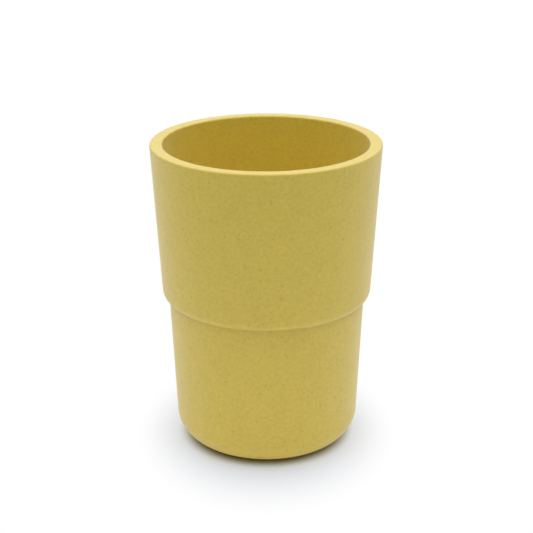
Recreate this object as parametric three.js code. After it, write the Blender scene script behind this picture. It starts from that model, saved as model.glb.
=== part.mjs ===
// A stackable drinking cup, moulded in one piece: a thick tapered wall that steps in at a
// shoulder about halfway up, a flat drinking rim, a rounded base and a foot ring under it.
// Nested in a second cup, it hangs by its shoulder on that cup's rim.
// Millimetres, +Z up. The origin is on the cup's axis, at the level of the table.

import * as THREE from 'three';

// Overall sizes
const height = 109;
const rimDiameter = 80;
const wall = 4.4; // measured level, all the way down
const floorThickness = 4;

// Lean of the side from the upright, in degrees, above and below the shoulder
const upperDraft = 3.45;
const lowerDraft = 2.6;

// The shoulder: its foot is the inner corner where the side steps in
const shoulderFootHeight = 53.3;
const shoulderStep = 2.1;
const shoulderSlope = 23; // degrees that its underside rises outwards

// Radii of the rounded edges
const rimOuterRound = 0.6;
const rimInnerRound = 0.6;
const shoulderRound = 3.6;
const ledgeRound = 1.6; // both edges of the ledge inside, behind the shoulder
const baseRound = 10;
const recessRound = 0.5;

// The underside: a flat ring stands on the table, and a shallow recess lies inside it
const footRingWidth = 4.3;
const recessDepth = 1;

// Fineness of the facets
const sides = 72;
const chordError = 0.04; // how far a facet may cut inside a rounded edge

// Finish
const colour = '#d9c259';
const roughness = 0.5;
const metalness = 0;

const radians = THREE.MathUtils.degToRad;

// A construction line of the half section, where x is the distance from the axis and y the level.
// An angle of 0 degrees runs level and outwards, and 90 runs straight up.
function line(x, y, angle) {
  const along = new THREE.Vector2(Math.cos(radians(angle)), Math.sin(radians(angle)));
  return { through: new THREE.Vector2(x, y), along };
}

function crossing(lineA, lineB) {
  const between = lineB.through.clone().sub(lineA.through);
  const reach = between.cross(lineB.along) / lineA.along.cross(lineB.along);
  return lineA.through.clone().addScaledVector(lineA.along, reach);
}

function corner(at, round = 0) {
  return { at, round };
}

// How far a corner's arc may reach along an edge: rounds at both ends share the edge by radius.
function roomAlong(edge, round, roundAtOtherEnd) {
  return (edge.length() * round) / (round + roundAtOtherEnd);
}

// The points of the tangent arc that rounds one corner of an outline
function cornerArc(before, here, after) {
  const back = before.at.clone().sub(here.at);
  const onward = after.at.clone().sub(here.at);
  const halfAngle = back.angleTo(onward) / 2;
  const reach = Math.min(
    here.round / Math.tan(halfAngle),
    roomAlong(back, here.round, before.round),
    roomAlong(onward, here.round, after.round),
  );
  const radius = reach * Math.tan(halfAngle);
  const start = here.at.clone().addScaledVector(back.clone().normalize(), reach);
  const middle = back.clone().normalize().add(onward.clone().normalize()).normalize();
  const centre = here.at.clone().addScaledVector(middle, radius / Math.sin(halfAngle));
  const sweep = Math.sign(onward.cross(back)) * (Math.PI - 2 * halfAngle);
  const facetTurn = 2 * Math.acos(1 - Math.min(chordError / radius, 1));
  const steps = Math.ceil(Math.abs(sweep) / facetTurn);
  const turned = (step) => start.clone().rotateAround(centre, (sweep * step) / steps);
  return Array.from({ length: steps + 1 }, (_, step) => turned(step));
}

function roundedOutline(corners) {
  return corners.flatMap((here, i) =>
    here.round > 0 ? cornerArc(corners[i - 1], here, corners[i + 1]) : [here.at],
  );
}

// The closed half section, from the middle of the underside, up the outside, over the rim and
// down the inside to the middle of the floor
function cupOutline() {
  const rimRadius = rimDiameter / 2;
  const floorLevel = recessDepth + floorThickness;
  const upperAngle = 90 - upperDraft;
  const lowerAngle = 90 - lowerDraft;

  const table = line(0, 0, 0);
  const rim = line(0, height, 0);
  const floor = line(0, floorLevel, 0);
  const upperSide = line(rimRadius, height, upperAngle);
  const upperInside = line(rimRadius - wall, height, upperAngle);

  const stepLevel = line(0, shoulderFootHeight, 0);
  const footRadius = crossing(upperSide, stepLevel).x - shoulderStep;
  const foot = new THREE.Vector2(footRadius, shoulderFootHeight);
  const lowerSide = line(foot.x, foot.y, lowerAngle);
  const lowerInside = line(foot.x - wall, foot.y, lowerAngle);

  // The ledge inside lies one wall thickness behind the shoulder's underside.
  const underside = line(foot.x, foot.y, shoulderSlope);
  const ledge = line(foot.x, foot.y + wall / Math.cos(radians(shoulderSlope)), shoulderSlope);

  const base = crossing(lowerSide, table);
  const baseReach = baseRound * Math.tan(radians(lowerAngle / 2));
  const recessRadius = base.x - baseReach - footRingWidth;
  const insideBaseRound = Math.max(baseRound - wall, 0);

  return roundedOutline([
    corner(new THREE.Vector2(0, recessDepth)),
    corner(new THREE.Vector2(recessRadius - recessDepth, recessDepth), recessRound),
    corner(new THREE.Vector2(recessRadius, 0), recessRound),
    corner(base, baseRound),
    corner(foot),
    corner(crossing(underside, upperSide), shoulderRound),
    corner(crossing(upperSide, rim), rimOuterRound),
    corner(crossing(upperInside, rim), rimInnerRound),
    corner(crossing(upperInside, ledge), ledgeRound),
    corner(crossing(lowerInside, ledge), ledgeRound),
    corner(crossing(lowerInside, floor), insideBaseRound),
    corner(new THREE.Vector2(0, floorLevel)),
  ]);
}

function makeCup() {
  const material = new THREE.MeshStandardMaterial({ color: colour, roughness, metalness });
  const cup = new THREE.Mesh(new THREE.LatheGeometry(cupOutline(), sides), material);
  cup.name = 'cup';
  cup.rotation.x = Math.PI / 2; // the outline's levels run up +Z
  return cup;
}

const tumbler = new THREE.Group();
tumbler.add(makeCup());

export default tumbler;
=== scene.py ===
"""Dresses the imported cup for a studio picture: its smooth surface, its speckled finish and the stage.

Laid out as an add-on with a panel in the 3D view's sidebar, and run as a script.
"""

import math

import bmesh
import bpy
from bpy.props import FloatProperty, FloatVectorProperty, IntProperty, PointerProperty
from mathutils import Color, Euler, Matrix, Vector


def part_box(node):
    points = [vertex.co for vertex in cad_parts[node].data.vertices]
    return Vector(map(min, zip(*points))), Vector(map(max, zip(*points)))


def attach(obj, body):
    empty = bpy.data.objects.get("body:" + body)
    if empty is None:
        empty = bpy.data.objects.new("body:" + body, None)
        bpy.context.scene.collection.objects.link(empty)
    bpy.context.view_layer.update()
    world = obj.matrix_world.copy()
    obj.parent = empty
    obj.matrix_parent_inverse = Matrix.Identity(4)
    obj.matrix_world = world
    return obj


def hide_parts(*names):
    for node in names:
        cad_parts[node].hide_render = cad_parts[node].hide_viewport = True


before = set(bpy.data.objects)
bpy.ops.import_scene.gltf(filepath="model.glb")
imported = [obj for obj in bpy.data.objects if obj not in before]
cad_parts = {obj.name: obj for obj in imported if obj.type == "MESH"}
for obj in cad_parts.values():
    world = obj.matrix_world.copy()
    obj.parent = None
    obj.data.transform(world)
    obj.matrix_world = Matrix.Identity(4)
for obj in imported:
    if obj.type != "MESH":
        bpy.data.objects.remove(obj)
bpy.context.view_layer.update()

bl_info = {
    "name": "Stacking cup",
    "version": (1, 0, 0),
    "blender": (4, 5, 0),
    "location": "View3D > Sidebar > Cup",
    "description": "Makes a speckled moulded drinking cup and a white studio around it",
    "category": "Add Mesh",
}

MM = 0.001
CUP_LOW, CUP_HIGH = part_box("cup")

# The stretch of a noise texture's values that holds nearly all of them
NOISE_MIDDLE = (0.3, 0.7)

# How many finer layers each noise adds: the cloudy patches, the fibrous grain and the surface grain
MOTTLE_LAYERS = 4
FIBRE_LAYERS = 3
GRAIN_LAYERS = 2

# Three ways that the fibre flecks lie, as turns about X, Y and Z in radians
FLECK_TURNS = ((0.0, 0.0, 0.4), (0.0, 1.2, 1.5), (0.8, 0.3, 2.6))

# The share of a fleck's width that is at full strength
FLECK_CORE = 0.5

# The stage: its plain white, the facets of the round table top, and the camera's sensor in millimetres
WHITE = (1, 1, 1, 1)
TABLE_SIDES = 128
SENSOR_WIDTH = 36


def linear(red, green, blue):
    """A colour read off a screen, from 0 to 255, as the linear values that shaders take."""
    return tuple(Color((red / 255, green / 255, blue / 255)).from_srgb_to_scene_linear())


def length(name, description, default):
    return FloatProperty(
        name=name, description=description, default=default, min=0, subtype="DISTANCE", precision=5
    )


def angle(name, description, degrees):
    return FloatProperty(
        name=name, description=description, default=math.radians(degrees), subtype="ANGLE"
    )


def share(name, description, default):
    return FloatProperty(
        name=name, description=description, default=default, min=0, max=1, subtype="FACTOR"
    )


def power(name, description, watts):
    return FloatProperty(name=name, description=description, default=watts, min=0, subtype="POWER")


def number(name, description, default):
    return FloatProperty(name=name, description=description, default=default, min=0)


def colour(name, description, red, green, blue):
    return FloatVectorProperty(
        name=name,
        description=description,
        default=linear(red, green, blue),
        min=0,
        max=1,
        subtype="COLOR",
    )


class CupSizes(bpy.types.PropertyGroup):
    """The cup's own dimensions, and how finely it is faceted."""

    height: length("Height", "From the table to the rim", CUP_HIGH.z - CUP_LOW.z)
    rim_diameter: length("Rim diameter", "Across the rim, as if its outer edge were sharp", 80 * MM)
    wall: length("Wall", "Thickness of the side, measured level", 4.4 * MM)
    floor_thickness: length("Floor", "Thickness of the floor inside the foot ring", 4 * MM)
    upper_draft: angle("Upper draft", "Lean of the side above the shoulder", 3.45)
    lower_draft: angle("Lower draft", "Lean of the side below the shoulder", 2.6)
    shoulder_foot_height: length("Shoulder foot", "Level of the corner where the side steps in", 53.3 * MM)
    shoulder_step: length("Shoulder step", "How far the side steps in", 2.1 * MM)
    shoulder_slope: angle("Shoulder slope", "How steeply the shoulder's underside rises outwards", 23)
    rim_outer_round: length("Rim outer round", "Radius of the rim's outer edge", 0.6 * MM)
    rim_inner_round: length("Rim inner round", "Radius of the rim's inner edge", 0.6 * MM)
    shoulder_round: length("Shoulder round", "Radius between the shoulder and the upper side", 3.6 * MM)
    shoulder_foot_round: length("Shoulder foot round", "Radius in the corner under the shoulder", 0.2 * MM)
    ledge_round: length("Ledge round", "Radius of both edges of the ledge inside", 1.6 * MM)
    base_round: length("Base round", "Radius between the side and the foot", 10 * MM)
    recess_round: length("Recess round", "Radius of both edges of the recess underneath", 0.5 * MM)
    foot_ring_width: length("Foot ring", "Width of the flat ring that the cup stands on", 4.3 * MM)
    recess_depth: length("Recess", "Depth of the recess inside the foot ring", 1 * MM)
    sides: IntProperty(name="Sides", description="Facets around the cup", default=256, min=16)
    chord_error: length("Chord error", "How far a facet may cut inside a rounded edge", 0.004 * MM)
    strip: length("Strip", "Height of the facets along a straight side", 3 * MM)
    guard: length("Guard", "Height of the narrow facet at each end of a straight side", 0.15 * MM)


class CupFinish(bpy.types.PropertyGroup):
    """The moulded plastic: its colour, flecks, grain and gloss."""

    body_deep: colour("Deep body", "Colour of the plastic where its fibrous grain is deepest", 221, 194, 59)
    body_pale: colour("Pale body", "Colour of the plastic where that grain is palest", 229, 204, 77)
    fleck: colour("Fleck", "Colour of the plant-fibre flecks", 198, 164, 10)
    fleck_strength: share("Fleck strength", "How strongly the darkest flecks show", 0.5)
    fleck_spacing: length("Fleck spacing", "Typical distance between flecks inside the plastic", 1.8 * MM)
    fleck_smallest: length("Finest fleck", "Half width of the finest flecks", 0.08 * MM)
    fleck_largest: length("Coarsest fleck", "Half width of the coarsest flecks", 0.5 * MM)
    fleck_stretch: number("Fleck stretch", "Length of a fleck over its width", 1.8)
    fibre_size: length("Fibre size", "Size of the fine fibrous grain in the colour", 1.1 * MM)
    mottle_size: length("Mottle size", "Size of the cloudy patches in the colour", 5 * MM)
    mottle: share("Mottle", "How far the patches shift the colour either way", 0.02)
    gloss: share("Gloss", "Strength of the surface's reflection, 0.5 on a common clear plastic", 0.7346)
    roughness: share("Roughness", "Roughness of the moulded surface", 0.47)
    roughness_spread: share("Roughness spread", "How far the grain shifts the roughness either way", 0.05)
    bloom: share("Bloom", "Pale sheen of the matte surface where it turns away", 0.24)
    bloom_roughness: share("Bloom roughness", "How widely that sheen spreads", 0.5)
    grain_size: length("Grain size", "Size of the fine grain of the surface", 0.3 * MM)
    grain_height: length("Grain height", "Height of that grain", 0.01 * MM)


class Studio(bpy.types.PropertyGroup):
    """The table, the light and the camera."""

    table_radius: length("Table radius", "Radius of the white table top", 0.45)
    table_place: FloatVectorProperty(
        name="Table place",
        description="Middle of the table top and of the shadow on it, just under the foot",
        default=(-0.3 * MM, 0.6 * MM, -0.05 * MM),
        subtype="TRANSLATION",
    )
    table: colour("Table", "Colour of the table top", 243, 243, 243)
    table_glow: share("Table glow", "Strength of the light that the table itself gives", 0.18)
    # Painted shade tint: a table colour seen only by the camera, with less red and green and more blue than
    # the table, that paints out the cup's yellow in the shadow round it.
    shade: colour("Shade", "The table's colour in the shadow, as the camera sees it", 222, 229, 248)
    # Painted contact shadow: a dark brown table colour, seen only by the camera, that darkens the table at
    # the foot and adds a painted bleed of the cup's yellow.
    painted_contact_shadow: colour("Contact", "The table's colour at the foot, as the camera sees it", 116, 110, 10)
    painted_contact_inner: length("Contact inner", "Radius at which that colour starts to fade", 25 * MM)
    painted_contact_outer: length("Contact outer", "Radius at which that colour has faded", 32.7 * MM)
    # The shadow's fade to white is painted: from the start radius out to an oval of these half sizes, white
    # that the camera sees is mixed over the real shadow.
    shade_start: length("Shade start", "Radius at which the shadow starts to fade", 17.8 * MM)
    shade_wide: length("Shade wide", "Half width of the shadow, where it has faded to white", 48.6 * MM)
    shade_deep: length("Shade deep", "Half depth of the shadow, front to back", 66.6 * MM)
    dome: number("Dome", "Strength of the soft light right overhead", 0.41)
    side_power: power("Side power", "Of the high softbox on each side", 4.35)
    front_power: power("Front power", "Of the high softbox in front", 1.74)
    back_power: power("Back power", "Of the softbox behind the cup", 3.33)
    high_wide: length("High wide", "Width of the high softboxes", 1.2)
    high_tall: length("High tall", "Height of the high softboxes", 0.7)
    high_distance: length("High distance", "From the cup to the high softboxes", 1.0)
    high_rise: angle("High rise", "How high the high softboxes stand", 55)
    back_wide: length("Back wide", "Width of the softbox behind the cup", 1.6)
    back_tall: length("Back tall", "Height of the softbox behind the cup", 0.6)
    back_distance: length("Back distance", "From the cup to the softbox behind it", 1.2)
    back_rise: angle("Back rise", "How high the softbox behind the cup stands", 32)
    camera_distance: length("Camera distance", "From the camera to the point that it looks at", 490.6 * MM)
    camera_aim: length("Camera aim", "Level of the point on the axis that the camera looks at", 63.3 * MM)
    camera_pitch: angle("Camera pitch", "How far the camera looks down", 20.4)
    camera_roll: angle("Camera roll", "Turn of the camera about its line of sight", -0.18)
    camera_lens: FloatProperty(
        name="Lens",
        description="Focal length in millimetres",
        default=93.55,
        min=1,
        subtype="DISTANCE_CAMERA",
    )


def sloped_line(x, z, slope):
    """A construction line of the half section: x is the distance from the axis and z the level."""
    return Vector((x, z)), Vector((math.cos(slope), math.sin(slope)))


def crossing(line_a, line_b):
    """The point where two construction lines cross."""
    start_a, along_a = line_a
    start_b, along_b = line_b
    reach = (start_b - start_a).cross(along_b) / along_a.cross(along_b)
    return start_a + along_a * reach


def corner_arc(before, here, after, radius, chord_error):
    """The points of the arc of that radius that rounds the corner at here."""
    back = (before - here).normalized()
    onward = (after - here).normalized()
    half_angle = back.angle(onward) / 2
    start = here + back * radius / math.tan(half_angle)
    centre = here + (back + onward).normalized() * radius / math.sin(half_angle)
    sweep = math.copysign(math.pi - 2 * half_angle, onward.cross(back))
    steps = math.ceil(abs(sweep) / (2 * math.acos(1 - chord_error / radius)))
    spoke = start - centre
    return [centre + Matrix.Rotation(sweep * i / steps, 2) @ spoke for i in range(steps + 1)]


def filled_in(points, strip, guard):
    """The points with more on each long stretch: one a guard from each end, and the rest a strip apart."""
    made = [points[0]]
    for start, end in zip(points, points[1:]):
        span = (end - start).length
        if span > strip:
            between = span - 2 * guard
            count = math.ceil(between / strip)
            for i in range(count + 1):
                made.append(start.lerp(end, (guard + between * i / count) / span))
        made.append(end)
    return made


def cup_outline(sizes):
    """The half section, from the middle of the underside, over the rim, to the middle of the floor."""
    rim_radius = sizes.rim_diameter / 2
    floor_level = sizes.recess_depth + sizes.floor_thickness
    upright = math.pi / 2
    upper = upright - sizes.upper_draft
    lower = upright - sizes.lower_draft
    table = sloped_line(0, 0, 0)
    rim = sloped_line(0, sizes.height, 0)
    floor = sloped_line(0, floor_level, 0)
    upper_side = sloped_line(rim_radius, sizes.height, upper)
    upper_inside = sloped_line(rim_radius - sizes.wall, sizes.height, upper)
    step_level = sloped_line(0, sizes.shoulder_foot_height, 0)
    foot = crossing(upper_side, step_level) - Vector((sizes.shoulder_step, 0))
    lower_side = sloped_line(foot.x, foot.y, lower)
    lower_inside = sloped_line(foot.x - sizes.wall, foot.y, lower)
    underside = sloped_line(foot.x, foot.y, sizes.shoulder_slope)
    ledge_lift = sizes.wall / math.cos(sizes.shoulder_slope)
    ledge = sloped_line(foot.x, foot.y + ledge_lift, sizes.shoulder_slope)
    base = crossing(lower_side, table)
    recess_radius = base.x - sizes.base_round * math.tan(lower / 2) - sizes.foot_ring_width
    corners = [
        (Vector((0, sizes.recess_depth)), 0),
        (Vector((recess_radius - sizes.recess_depth, sizes.recess_depth)), sizes.recess_round),
        (Vector((recess_radius, 0)), sizes.recess_round),
        (base, sizes.base_round),
        (foot, sizes.shoulder_foot_round),
        (crossing(underside, upper_side), sizes.shoulder_round),
        (crossing(upper_side, rim), sizes.rim_outer_round),
        (crossing(upper_inside, rim), sizes.rim_inner_round),
        (crossing(upper_inside, ledge), sizes.ledge_round),
        (crossing(lower_inside, ledge), sizes.ledge_round),
        (crossing(lower_inside, floor), sizes.base_round - sizes.wall),
        (Vector((0, floor_level)), 0),
    ]
    points = []
    for i, (at, radius) in enumerate(corners):
        if radius == 0:
            points.append(at)
            continue
        points += corner_arc(corners[i - 1][0], at, corners[i + 1][0], radius, sizes.chord_error)
    return filled_in(points, sizes.strip, sizes.guard)


def revolved_mesh(name, outline, sides):
    """A closed mesh turned about Z from an outline that starts and ends on the axis."""
    mesh = bmesh.new()
    first = mesh.verts.new((0, 0, outline[0].y))
    last = mesh.verts.new((0, 0, outline[-1].y))
    turns = [2 * math.pi * i / sides for i in range(sides)]
    rings = [
        [mesh.verts.new((p.x * math.cos(t), p.x * math.sin(t), p.y)) for t in turns]
        for p in outline[1:-1]
    ]
    for i in range(sides):
        j = (i + 1) % sides
        mesh.faces.new((first, rings[0][j], rings[0][i]))
        for below, above in zip(rings, rings[1:]):
            mesh.faces.new((below[i], below[j], above[j], above[i]))
        mesh.faces.new((last, rings[-1][i], rings[-1][j]))
    for face in mesh.faces:
        face.smooth = True
    data = bpy.data.meshes.new(name)
    mesh.to_mesh(data)
    mesh.free()
    return data


def add_object(name, data):
    """A new object that shows the data, put into the scene."""
    made = bpy.data.objects.new(name, data)
    bpy.context.scene.collection.objects.link(made)
    return made


class NodeBuilder:
    """Adds shader nodes to a tree. A socket given as a value takes a number, a colour or a link."""

    def __init__(self, tree):
        self.tree = tree
        tree.nodes.clear()

    def add(self, kind, settings=None, **sockets):
        node = self.tree.nodes.new(kind)
        for key, value in (settings or {}).items():
            setattr(node, key, value)
        for key, value in sockets.items():
            self.plug(node.inputs[key.replace("_", " ")], value)
        return node

    def plug(self, socket, value):
        if isinstance(value, bpy.types.NodeSocket):
            self.tree.links.new(value, socket)
        else:
            socket.default_value = value

    def math(self, operation, *values):
        node = self.tree.nodes.new("ShaderNodeMath")
        node.operation = operation
        for socket, value in zip(node.inputs, values):
            self.plug(socket, value)
        return node.outputs[0]

    def ranged(self, value, low, high, to_low=0.0, to_high=1.0, smooth=False):
        node = self.tree.nodes.new("ShaderNodeMapRange")
        node.interpolation_type = "SMOOTHSTEP" if smooth else "LINEAR"
        for socket, given in zip(node.inputs, (value, low, high, to_low, to_high)):
            self.plug(socket, given)
        return node.outputs[0]

    def noise(self, place, size, layers):
        node = self.add("ShaderNodeTexNoise", Vector=place, Scale=1 / size, Detail=layers)
        return node.outputs[0]

    def distance(self, place):
        node = self.add("ShaderNodeVectorMath", {"operation": "LENGTH"})
        self.plug(node.inputs[0], place)
        return node.outputs["Value"]

    def mixed(self, factor, colour_a, colour_b):
        node = self.add("ShaderNodeMix", {"data_type": "RGBA"})
        given = {"Factor_Float": factor, "A_Color": colour_a, "B_Color": colour_b}
        for socket in node.inputs:
            if socket.identifier in given:
                self.plug(socket, given[socket.identifier])
        return next(socket for socket in node.outputs if socket.identifier == "Result_Color")


def fleck_cover(build, place, finish, turn):
    """How much of a fibre fleck lies at a point, from 0 to 1, among flecks that lie one way."""
    along = build.add(
        "ShaderNodeMapping",
        {"vector_type": "TEXTURE"},
        Vector=place,
        Rotation=turn,
        Scale=(finish.fleck_stretch, 1, 1),
    )
    cells = build.add("ShaderNodeTexVoronoi", Vector=along.outputs[0], Scale=1 / finish.fleck_spacing)
    chance = build.add("ShaderNodeSeparateColor", Color=cells.outputs["Color"])
    smallest = finish.fleck_smallest / finish.fleck_spacing
    largest = finish.fleck_largest / finish.fleck_spacing
    half_width = build.ranged(chance.outputs["Red"], 0.0, 1.0, smallest, largest)
    outwards = build.math("DIVIDE", cells.outputs["Distance"], half_width)
    inside = build.ranged(outwards, 1.0, FLECK_CORE, smooth=True)
    return build.math("MULTIPLY", inside, chance.outputs["Green"])


def cup_plastic(finish):
    """Matte plastic filled with plant fibre: fine flecks, a fibrous grain and cloudy patches."""
    material = bpy.data.materials.new("speckled_plastic")
    material.use_nodes = True
    build = NodeBuilder(material.node_tree)
    place = build.add("ShaderNodeTexCoord").outputs["Object"]
    cloud = build.noise(place, finish.mottle_size, MOTTLE_LAYERS)
    fibres = build.noise(place, finish.fibre_size, FIBRE_LAYERS)
    grain = build.noise(place, finish.grain_size, GRAIN_LAYERS)
    patches = build.ranged(cloud, *NOISE_MIDDLE, 1.0 - finish.mottle, 1.0 + finish.mottle)
    strands = build.ranged(fibres, *NOISE_MIDDLE)
    body = build.mixed(strands, (*finish.body_deep, 1), (*finish.body_pale, 1))
    tint = build.add("ShaderNodeVectorMath", {"operation": "SCALE"}, Scale=patches)
    build.plug(tint.inputs[0], body)
    cover = 0.0
    for turn in FLECK_TURNS:
        cover = build.math("MAXIMUM", cover, fleck_cover(build, place, finish, turn))
    shown = build.math("MULTIPLY", cover, finish.fleck_strength)
    flecked = build.mixed(shown, tint.outputs[0], (*finish.fleck, 1))
    smoothest = finish.roughness - finish.roughness_spread
    roughest = finish.roughness + finish.roughness_spread
    rough = build.ranged(grain, *NOISE_MIDDLE, smoothest, roughest)
    bump = build.add("ShaderNodeBump", Distance=finish.grain_height, Height=grain)
    shader = build.add(
        "ShaderNodeBsdfPrincipled",
        Base_Color=flecked,
        Roughness=rough,
        Normal=bump.outputs[0],
        Specular_IOR_Level=finish.gloss,
        Sheen_Weight=finish.bloom,
        Sheen_Roughness=finish.bloom_roughness,
    )
    build.add("ShaderNodeOutputMaterial", Surface=shader.outputs[0])
    return material


def seen_directly(build):
    """1 for what the camera sees, straight or in a gloss or glass, and 0 for what only lights the cup."""
    path = build.add("ShaderNodeLightPath")
    seen = build.math("MAXIMUM", path.outputs["Is Camera Ray"], path.outputs["Is Glossy Ray"])
    return build.math("MAXIMUM", seen, path.outputs["Is Transmission Ray"])


def table_white(studio):
    """A white top that keeps the shadow round the cup, with a painted contact shadow at the foot, a painted
    cooler tint in the shade and a painted fade to the white of the backdrop.
    """
    material = bpy.data.materials.new("white_table")
    material.use_nodes = True
    material.cycles.emission_sampling = "NONE"
    build = NodeBuilder(material.node_tree)
    seen = seen_directly(build)
    place = build.add("ShaderNodeTexCoord").outputs["Object"]
    away = build.distance(place)
    # The painted fade of the shadow ends at an oval, where the place shrunk by the oval's half sizes lies
    # at a distance of 1.
    shrunk = build.add("ShaderNodeVectorMath", {"operation": "DIVIDE"})
    build.plug(shrunk.inputs[0], place)
    build.plug(shrunk.inputs[1], (studio.shade_wide, studio.shade_deep, 1))
    shade_end = build.math("DIVIDE", away, build.distance(shrunk.outputs[0]))
    # Painted fade of the shadow: 0 inside the start radius, 1 at the oval.
    painted_shadow_fade = build.ranged(away, studio.shade_start, shade_end, smooth=True)
    # Painted contact shadow: the dark brown ring at the foot fades out between its two radii, and no white
    # is mixed over it.
    clear = build.ranged(away, studio.painted_contact_inner, studio.painted_contact_outer, smooth=True)
    # The table colour that the camera sees: the painted contact shadow at the foot, then the painted shade
    # tint further out.
    shadow = build.mixed(clear, (*studio.painted_contact_shadow, 1), (*studio.shade, 1))
    top = build.add("ShaderNodeBsdfDiffuse", Color=build.mixed(seen, (*studio.table, 1), shadow))
    glow_strength = build.ranged(seen, 0.0, 1.0, studio.table_glow, 0.0)
    glow = build.add("ShaderNodeEmission", Color=WHITE, Strength=glow_strength)
    lit = build.add("ShaderNodeAddShader")
    build.plug(lit.inputs[0], top.outputs[0])
    build.plug(lit.inputs[1], glow.outputs[0])
    white = build.add("ShaderNodeEmission", Color=WHITE, Strength=1.0)
    whiteness = build.math("MULTIPLY", build.math("MULTIPLY", painted_shadow_fade, clear), seen)
    both = build.add("ShaderNodeMixShader", Fac=whiteness)
    build.plug(both.inputs[1], lit.outputs[0])
    build.plug(both.inputs[2], white.outputs[0])
    build.add("ShaderNodeOutputMaterial", Surface=both.outputs[0])
    return material


def studio_world(studio):
    """A white backdrop for the camera, and a soft dome of light that grows towards the top."""
    world = bpy.data.worlds.new("studio")
    bpy.context.scene.world = world
    world.use_nodes = True
    world.cycles.sampling_method = "NONE"
    build = NodeBuilder(world.node_tree)
    direction = build.add("ShaderNodeTexCoord").outputs["Generated"]
    up = build.math("MAXIMUM", build.add("ShaderNodeSeparateXYZ", Vector=direction).outputs["Z"], 0.0)
    rising = build.math("MULTIPLY", build.math("MULTIPLY", up, up), studio.dome)
    light = build.add("ShaderNodeBackground", Color=WHITE, Strength=rising)
    backdrop = build.add("ShaderNodeBackground", Color=WHITE, Strength=1.0)
    both = build.add("ShaderNodeMixShader", Fac=seen_directly(build))
    build.plug(both.inputs[1], light.outputs[0])
    build.plug(both.inputs[2], backdrop.outputs[0])
    build.add("ShaderNodeOutputWorld", Surface=both.outputs[0])


def softbox(name, watts, azimuth, wide, tall, distance, rise):
    """A soft rectangular lamp that faces the cup. The camera stands at azimuth 0 and doesn't see it."""
    data = bpy.data.lights.new(name, "AREA")
    data.shape = "RECTANGLE"
    data.size = wide
    data.size_y = tall
    data.energy = watts
    lamp = add_object(name, data)
    level = math.cos(rise)
    away = Vector((math.sin(azimuth) * level, -math.cos(azimuth) * level, math.sin(rise)))
    lamp.location = Vector((0, 0, CUP_HIGH.z / 2)) + away * distance
    lamp.rotation_euler = away.to_track_quat("Z", "Y").to_euler()
    lamp.visible_camera = False


def studio_camera(studio):
    """A camera in front of the cup that looks down at a point on its axis."""
    data = bpy.data.cameras.new("camera")
    data.sensor_width = SENSOR_WIDTH
    data.lens = studio.camera_lens
    camera = add_object("camera", data)
    pitch = studio.camera_pitch
    aim = Vector((0, 0, studio.camera_aim))
    back = Vector((0, -math.cos(pitch), math.sin(pitch)))
    level = Euler((math.pi / 2 - pitch, 0, 0)).to_matrix()
    roll = Matrix.Rotation(studio.camera_roll, 3, "Z")
    camera.matrix_world = Matrix.Translation(aim + back * studio.camera_distance) @ (level @ roll).to_4x4()
    bpy.context.scene.camera = camera


class MESH_OT_make_cup(bpy.types.Operator):
    """Make the moulded cup in place of its plain solid"""

    bl_idname = "mesh.make_cup"
    bl_label = "Make cup"

    def execute(self, context):
        sizes = context.scene.cup_sizes
        data = revolved_mesh("moulded_cup", cup_outline(sizes), sizes.sides)
        cup = add_object("moulded_cup", data)
        data.materials.append(cup_plastic(context.scene.cup_finish))
        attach(cup, "root")
        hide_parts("cup")
        return {"FINISHED"}


class SCENE_OT_make_stage(bpy.types.Operator):
    """Make the white table, the soft light and the camera"""

    bl_idname = "scene.make_stage"
    bl_label = "Make stage"

    def execute(self, context):
        studio = context.scene.studio
        mesh = bmesh.new()
        bmesh.ops.create_circle(mesh, cap_ends=True, segments=TABLE_SIDES, radius=studio.table_radius)
        data = bpy.data.meshes.new("table_top")
        mesh.to_mesh(data)
        mesh.free()
        table = add_object("table_top", data)
        table.location = studio.table_place
        data.materials.append(table_white(studio))
        studio_world(studio)
        high = (studio.high_wide, studio.high_tall, studio.high_distance, studio.high_rise)
        behind = (studio.back_wide, studio.back_tall, studio.back_distance, studio.back_rise)
        softbox("softbox_front", studio.front_power, 0, *high)
        softbox("softbox_left", studio.side_power, -math.pi / 2, *high)
        softbox("softbox_right", studio.side_power, math.pi / 2, *high)
        softbox("softbox_behind", studio.back_power, math.pi, *behind)
        studio_camera(studio)
        context.scene.view_settings.view_transform = "Standard"
        return {"FINISHED"}


class VIEW3D_PT_cup(bpy.types.Panel):
    """Lists what makes the cup and its studio"""

    bl_idname = "VIEW3D_PT_cup"
    bl_label = "Stacking cup"
    bl_space_type = "VIEW_3D"
    bl_region_type = "UI"
    bl_category = "Cup"

    def draw(self, context):
        for operator in OPERATORS:
            self.layout.operator(operator.bl_idname)
        for settings in SETTINGS:
            group = getattr(context.scene, settings)
            for key in group.__annotations__:
                self.layout.prop(group, key)


SETTINGS = {"cup_sizes": CupSizes, "cup_finish": CupFinish, "studio": Studio}
OPERATORS = (MESH_OT_make_cup, SCENE_OT_make_stage)
CLASSES = (*SETTINGS.values(), *OPERATORS, VIEW3D_PT_cup)


def register():
    for item in CLASSES:
        bpy.utils.register_class(item)
    for name, group in SETTINGS.items():
        setattr(bpy.types.Scene, name, PointerProperty(type=group))


def unregister():
    for name in SETTINGS:
        delattr(bpy.types.Scene, name)
    for item in reversed(CLASSES):
        bpy.utils.unregister_class(item)


def main():
    register()
    bpy.ops.mesh.make_cup()
    bpy.ops.scene.make_stage()


if __name__ == "__main__":
    main()
